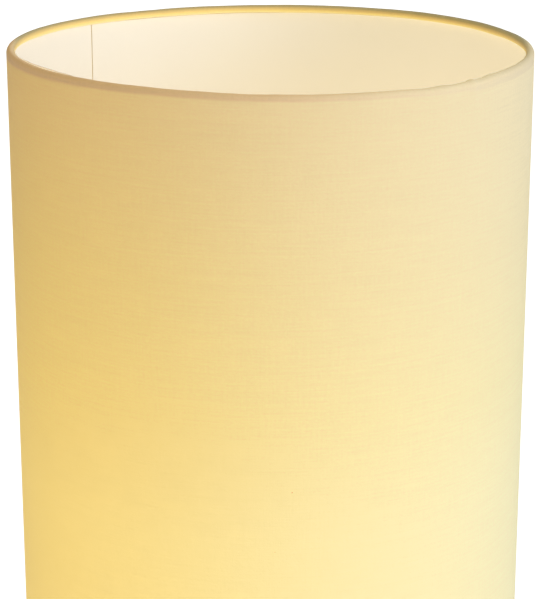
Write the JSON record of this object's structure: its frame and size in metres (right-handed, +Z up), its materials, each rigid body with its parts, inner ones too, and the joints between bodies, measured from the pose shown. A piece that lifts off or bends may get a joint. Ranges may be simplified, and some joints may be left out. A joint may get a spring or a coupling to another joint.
{
  "type": "column floor lamp",
  "caption": "Tall straight cylindrical fabric shade on wire hoops, lifting off a weighted round base with a stem, lampholder and screw-in bulb inside.",
  "frame": {"origin": "on the floor, under the middle of the base", "axes": "+Z up along the shade's axis; -Y is the front, which the camera saw; the cord inlet is at +Y"},
  "size_m": [0.27, 0.2716, 1.2003],
  "materials": {
    "shade_fabric": "plain-woven natural cotton and linen",
    "shade_lining": "smooth cream-white plastic sheet",
    "hoop_wire": "white-coated steel wire",
    "base_paint": "satin powder coat",
    "weight_iron": "sand-cast, dip painted",
    "plate_steel": "zinc-plated sheet",
    "screw_steel": "bright zinc",
    "foot_rubber": "soft black rubber",
    "inlet_plastic": "white nylon",
    "tube_paint": "satin powder coat",
    "nipple_steel": "yellow zinc",
    "block_plastic": "white nylon",
    "contact_brass": "pressed and turned brass",
    "terminal_steel": "bright zinc",
    "brown_wire": "brown insulation",
    "blue_wire": "blue insulation",
    "holder_plastic": "white moulded thermoset",
    "core_ceramic": "unglazed",
    "bulb_nickel": "nickel-plated",
    "bulb_black_glass": "black insulator",
    "bulb_white_plastic": "white moulded shell",
    "opal_globe": "opal diffuser, lit",
    "board_green": "white-coated circuit board"
  },
  "bodies": {
    "stand": {"base_cover": "base_paint", "base_weight": "weight_iron", "base_plate": "plate_steel", "plate_screws": "screw_steel", "rubber_feet": "foot_rubber", "cord_inlet_bush": "inlet_plastic", "base_nipple": "nipple_steel", "base_washer": "screw_steel", "base_nut": "screw_steel", "stem_collar": "base_paint", "lower_tube": "tube_paint", "upper_tube": "tube_paint", "stem_inserts": "nipple_steel", "stem_joiner": "nipple_steel", "holder_nipple": "nipple_steel", "terminal_block": "block_plastic", "terminal_barrels": "contact_brass", "terminal_screws": "terminal_steel", "live_wire": "brown_wire", "neutral_wire": "blue_wire", "holder_cap": "holder_plastic", "holder_core": "core_ceramic", "holder_skirt": "holder_plastic", "holder_sleeve": "contact_brass", "holder_terminals": "contact_brass", "holder_contact": "contact_brass"},
    "shade": {"shade_cloth": "shade_fabric", "shade_lining": "shade_lining", "seam_lap": "shade_fabric", "upper_hoop": "hoop_wire", "lower_hoop": "hoop_wire"},
    "bulb_contact": {"bulb_tip": "bulb_nickel"},
    "bulb": {"bulb_insulator": "bulb_black_glass", "bulb_cap": "bulb_nickel", "bulb_housing": "bulb_white_plastic", "bulb_globe": "opal_globe", "led_board": "board_green", "led_driver": "board_green"}
  },
  "joints": [
    {"name": "shade_lift", "type": "slide", "parent": "stand", "child": "shade", "axis": [0, 0, 1], "range_m": [0, 0.76]},
    {"name": "bulb_rise", "type": "slide", "parent": "stand", "child": "bulb_contact", "axis": [0, 0, 1], "range_m": [0, 0.02541]},
    {"name": "bulb_turn", "type": "hinge", "parent": "bulb_contact", "child": "bulb", "pos_m": [0, 0, 0.6568], "axis": [0, 0, 1], "range_deg": [0, 2520]}
  ],
  "couplings": [
    {"joint": "bulb_rise", "follows": "bulb_turn", "m_per_rad": 0.00057773}
  ]
}
